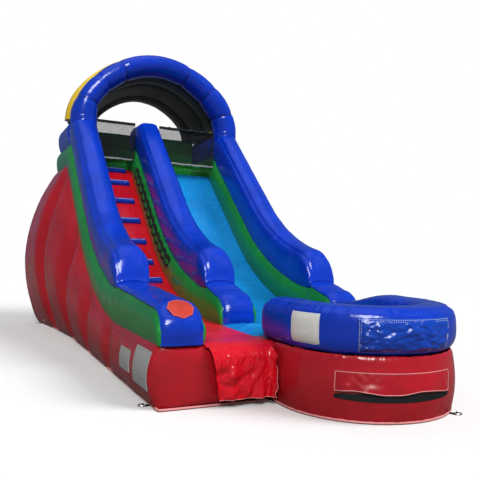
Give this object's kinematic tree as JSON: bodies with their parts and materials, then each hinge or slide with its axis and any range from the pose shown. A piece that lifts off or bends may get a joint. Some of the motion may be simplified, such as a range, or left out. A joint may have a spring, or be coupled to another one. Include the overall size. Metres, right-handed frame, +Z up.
{
  "type": "inflatable water slide",
  "caption": "Inflatable water slide with a climbing lane, a sliding lane into a ringed splash pool, side tubes, a roofed arch, nets and a sprinkler hose.",
  "frame": {"origin": "on the ground under the middle of the front arch, midway between the two outer walls", "axes": "+Z up, +Y from the splash pool up the lanes to the platform, +X to the sliding lane's side"},
  "size_m": [3.8124, 7.6268, 4.6053],
  "materials": {
    "red_vinyl": "semi-gloss coated fabric",
    "bright_red_vinyl": "semi-gloss coated fabric",
    "blue_vinyl": "semi-gloss coated fabric",
    "green_vinyl": "semi-gloss coated fabric",
    "light_blue_vinyl": "semi-gloss coated fabric",
    "yellow_vinyl": "semi-gloss coated fabric",
    "pale_vinyl": "matt",
    "coral_vinyl": "matt",
    "black_webbing": "woven",
    "black_hose": "matt",
    "brass": "plain",
    "steel": "plain"
  },
  "bodies": {
    "slide": {"blower_sleeve": "red_vinyl", "climb_net": "black_webbing", "climb_net_strap": "black_webbing", "climb_panel": "bright_red_vinyl", "divider_low_wall": "green_vinyl", "divider_nose_ribbon": "blue_vinyl", "divider_upper_tube": "blue_vinyl", "entrance_mat": "bright_red_vinyl", "front_anchor_tab": "red_vinyl", "front_arch": "blue_vinyl", "hand_strap": "black_webbing", "hose_coupling": "brass", "hose_tie_1": "black_webbing", "hose_tie_2": "black_webbing", "hose_tie_3": "black_webbing", "hose_tie_4": "black_webbing", "label_large": "pale_vinyl", "label_small": "pale_vinyl", "left_low_wall": "green_vinyl", "left_nose_ribbon": "blue_vinyl", "left_side_tube": "blue_vinyl", "left_upper_tube": "blue_vinyl", "octagon_patch": "coral_vinyl", "pool_anchor_tab": "red_vinyl", "pool_base": "red_vinyl", "pool_floor": "light_blue_vinyl", "pool_pocket": "blue_vinyl", "pool_ring": "blue_vinyl", "rear_arch": "blue_vinyl", "rear_left_anchor_tab": "red_vinyl", "rear_right_anchor_tab": "red_vinyl", "rear_wall": "green_vinyl", "right_low_wall": "green_vinyl", "right_nose_ribbon": "blue_vinyl", "right_side_tube": "blue_vinyl", "right_upper_tube": "blue_vinyl", "roof_band_blue": "blue_vinyl", "roof_band_yellow": "yellow_vinyl", "rung_1": "blue_vinyl", "rung_2": "blue_vinyl", "rung_3": "blue_vinyl", "rung_4": "blue_vinyl", "rung_5": "blue_vinyl", "rung_6": "blue_vinyl", "rung_7": "blue_vinyl", "sign_panel": "pale_vinyl", "sleeve_strap": "black_webbing", "slide_body": "red_vinyl", "slide_lane": "light_blue_vinyl", "slide_net": "black_webbing", "slide_net_strap": "black_webbing", "sprinkler_hose": "black_hose", "zip_tape": "black_webbing"},
    "mat_flap": {"mat_flap": "bright_red_vinyl"},
    "zip_cover": {"zip_flap": "red_vinyl"},
    "zip_pull": {"zip_slider": "steel"},
    "front_ring": {"front_anchor_ring": "steel"},
    "pool_ring_anchor": {"pool_anchor_ring": "steel"},
    "rear_left_ring": {"rear_left_anchor_ring": "steel"},
    "rear_right_ring": {"rear_right_anchor_ring": "steel"}
  },
  "joints": [
    {"name": "mat_flap_hinge", "type": "hinge", "parent": "slide", "child": "mat_flap", "pos_m": [-0.707, -4.82159, 0.53], "axis": [-1, 0, 0], "range_deg": [0, 90]},
    {"name": "zip_cover_hinge", "type": "hinge", "parent": "slide", "child": "zip_cover", "pos_m": [0.25736, -5.65199, 0.4], "axis": [-0.9681, 0.2504, 0], "range_deg": [0, 15]},
    {"name": "zip_run", "type": "hinge", "parent": "slide", "child": "zip_pull", "pos_m": [0.42, -5.02309, 0.21], "axis": [0, 0, 1], "range_deg": [0, 70]},
    {"name": "front_ring_hinge", "type": "hinge", "parent": "slide", "child": "front_ring", "pos_m": [-1.48, -4.57309, 0.009], "axis": [0, 1, 0], "range_deg": [0, 90]},
    {"name": "pool_ring_hinge", "type": "hinge", "parent": "slide", "child": "pool_ring_anchor", "pos_m": [0.89252, -5.72363, 0.009], "axis": [-0.829, -0.5592, 0], "range_deg": [0, 90]},
    {"name": "rear_left_ring_hinge", "type": "hinge", "parent": "slide", "child": "rear_left_ring", "pos_m": [-1.68354, 1.04, 0.009], "axis": [0, 1, 0], "range_deg": [0, 90]},
    {"name": "rear_right_ring_hinge", "type": "hinge", "parent": "slide", "child": "rear_right_ring", "pos_m": [1.68354, 1.04, 0.009], "axis": [0, -1, 0], "range_deg": [0, 90]}
  ]
}
